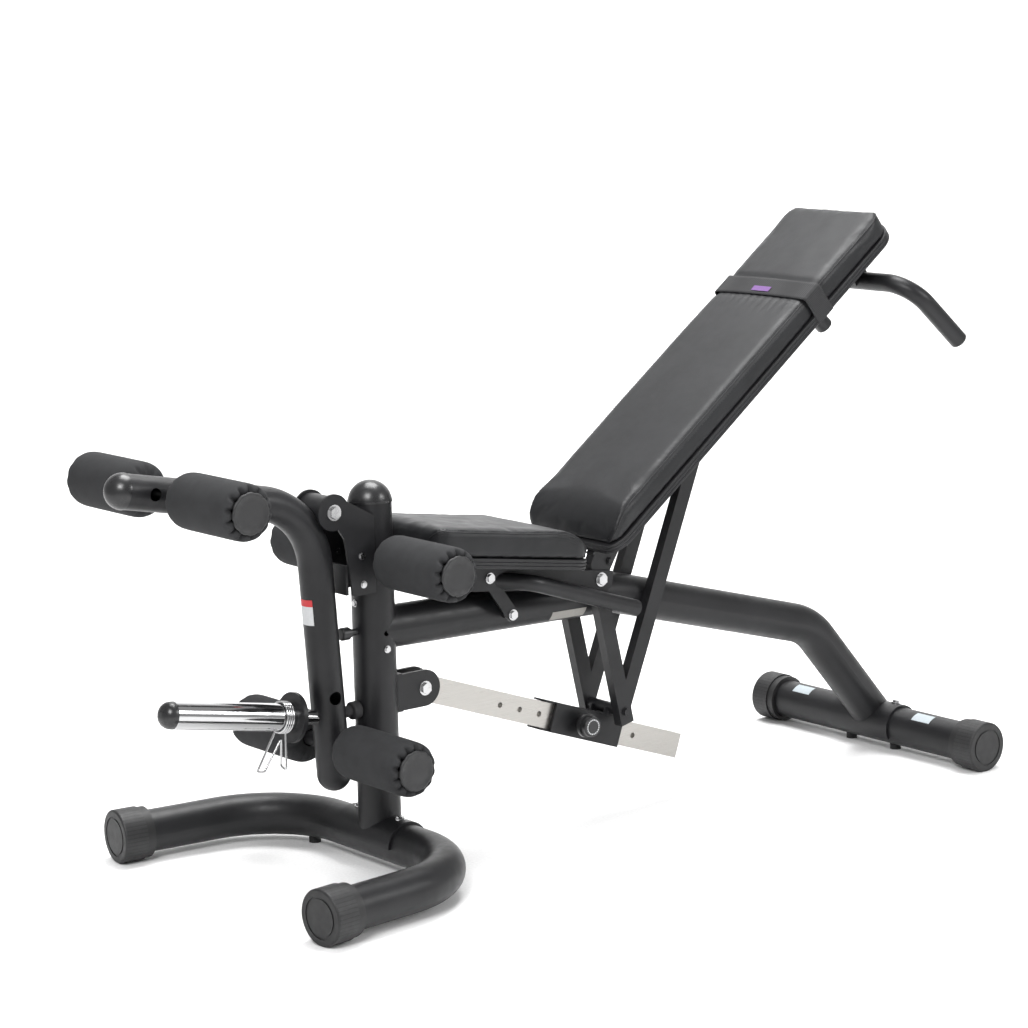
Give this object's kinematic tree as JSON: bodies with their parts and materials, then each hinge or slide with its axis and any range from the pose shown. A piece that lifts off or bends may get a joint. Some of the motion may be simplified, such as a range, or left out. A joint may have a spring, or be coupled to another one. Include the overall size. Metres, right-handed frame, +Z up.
{
  "type": "adjustable weight bench",
  "caption": "Adjustable weight bench: hinged backrest on a sliding carriage lock, fixed seat, and a swinging leg developer with foam rollers and a plate sleeve",
  "frame": {"origin": "on the floor under the middle of the bench's bounding box", "axes": "+X the user's left when sitting, -Y the way a seated user faces (the leg developer's end), +Y the head end, +Z up"},
  "size_m": [0.7374, 1.8176, 1.0872],
  "materials": {
    "black_frame": "satin black powder coat",
    "ribbed_cap": "matte ribbed black",
    "roller_plug": "matte black",
    "foam": "closed-cell dark grey foam, matte",
    "dome_plastic": "semi-gloss black",
    "chrome_bolt": "bright plated",
    "chrome_sleeve": "polished chrome",
    "collar_wire": "bright plated wire",
    "rubber_foot": "matte",
    "knob_plastic": "satin black",
    "vinyl": "black vinyl, fine grain",
    "vinyl_trim": "black vinyl, ridged",
    "strap_fabric": "woven elastic, black",
    "brushed_bar": "brushed stainless steel"
  },
  "bodies": {
    "frame": {"bar_clevis": "black_frame", "floor_pads": "rubber_foot", "frame_bolts": "chrome_bolt", "front_base": "black_frame", "front_cap_left": "ribbed_cap", "front_cap_right": "ribbed_cap", "hinge_barrel": "black_frame", "main_tube": "black_frame", "pivot_bolt": "chrome_bolt", "pivot_bracket": "black_frame", "post": "black_frame", "post_cap": "dome_plastic", "rear_base": "black_frame", "rear_cap_left": "ribbed_cap", "rear_cap_right": "ribbed_cap", "seat_board": "vinyl_trim", "seat_brace": "black_frame", "seat_bracket": "black_frame", "seat_handle_left": "black_frame", "seat_handle_right": "black_frame", "seat_pad": "vinyl", "seat_roller_rod": "black_frame"},
    "leg_developer": {"leg_tube": "black_frame", "leg_tube_cap": "dome_plastic", "pivot_barrel": "black_frame", "plate_sleeve": "chrome_sleeve", "plate_stop": "black_frame", "sleeve_cap": "dome_plastic", "stop_bumper": "rubber_foot", "upper_roller_rod": "black_frame", "lower_roller_rod": "black_frame"},
    "collar": {"spring_collar": "collar_wire"},
    "post_pin_body": {"post_pin": "knob_plastic"},
    "backrest": {"back_arm_front_left": "black_frame", "back_arm_front_right": "black_frame", "back_arm_rear_left": "black_frame", "back_arm_rear_right": "black_frame", "back_board": "vinyl_trim", "back_handle_left": "black_frame", "back_handle_right": "black_frame", "back_pad": "vinyl", "back_rails": "black_frame", "back_strap": "strap_fabric"},
    "bar": {"adjust_bar": "brushed_bar"},
    "carriage_body": {"carriage": "black_frame"},
    "pull_pin_body": {"pull_pin": "knob_plastic"},
    "upper_roller_left": {"upper_foam_left": "foam", "upper_disc_left": "roller_plug"},
    "upper_roller_right": {"upper_foam_right": "foam", "upper_disc_right": "roller_plug"},
    "lower_roller_left": {"lower_foam_left": "foam", "lower_disc_left": "roller_plug"},
    "lower_roller_right": {"lower_foam_right": "foam", "lower_disc_right": "roller_plug"},
    "seat_roller_left": {"seat_foam_left": "foam", "seat_disc_left": "roller_plug"},
    "seat_roller_right": {"seat_foam_right": "foam", "seat_disc_right": "roller_plug"}
  },
  "joints": [
    {"name": "leg_hinge", "type": "hinge", "parent": "frame", "child": "leg_developer", "pos_m": [0, -0.484, 0.649], "axis": [-1, 0, 0], "range_deg": [0, 110]},
    {"name": "backrest_hinge", "type": "hinge", "parent": "frame", "child": "backrest", "pos_m": [0, 0.085, 0.456], "axis": [1, 0, 0], "range_deg": [-42, 30]},
    {"name": "bar_hinge", "type": "hinge", "parent": "frame", "child": "bar", "pos_m": [0, -0.288, 0.306], "axis": [1, 0, 0], "range_deg": [-7, 5]},
    {"name": "carriage_slide", "type": "slide", "parent": "bar", "child": "carriage_body", "axis": [0, 0.942, -0.3356], "range_m": [-0.17, 0.122]},
    {"name": "pull_pin_slide", "type": "slide", "parent": "carriage_body", "child": "pull_pin_body", "axis": [1, 0, 0], "range_m": [0, 0.012], "stiffness_N_per_m": 1500},
    {"name": "post_pin_slide", "type": "slide", "parent": "frame", "child": "post_pin_body", "axis": [0, -1, 0], "range_m": [0, 0.006], "stiffness_N_per_m": 1500},
    {"name": "collar_slide", "type": "slide", "parent": "leg_developer", "child": "collar", "axis": [0, -0.983, 0.1836], "range_m": [0, 0.2]},
    {"name": "upper_roller_left_spin", "type": "hinge", "parent": "leg_developer", "child": "upper_roller_left", "pos_m": [0, -0.7933, 0.7135], "axis": [1, 0, 0], "continuous": true},
    {"name": "upper_roller_right_spin", "type": "hinge", "parent": "leg_developer", "child": "upper_roller_right", "pos_m": [0, -0.7933, 0.7135], "axis": [1, 0, 0], "continuous": true},
    {"name": "lower_roller_left_spin", "type": "hinge", "parent": "leg_developer", "child": "lower_roller_left", "pos_m": [0, -0.483, 0.235], "axis": [1, 0, 0], "continuous": true},
    {"name": "lower_roller_right_spin", "type": "hinge", "parent": "leg_developer", "child": "lower_roller_right", "pos_m": [0, -0.483, 0.235], "axis": [1, 0, 0], "continuous": true},
    {"name": "seat_roller_left_spin", "type": "hinge", "parent": "frame", "child": "seat_roller_left", "pos_m": [0, -0.384, 0.5545], "axis": [1, 0, 0], "continuous": true},
    {"name": "seat_roller_right_spin", "type": "hinge", "parent": "frame", "child": "seat_roller_right", "pos_m": [0, -0.384, 0.5545], "axis": [1, 0, 0], "continuous": true}
  ],
  "couplings": [
    {"joint": "bar_hinge", "follows": "backrest_hinge", "ratio": 0.16},
    {"joint": "carriage_slide", "follows": "backrest_hinge", "m_per_rad": 0.229}
  ]
}
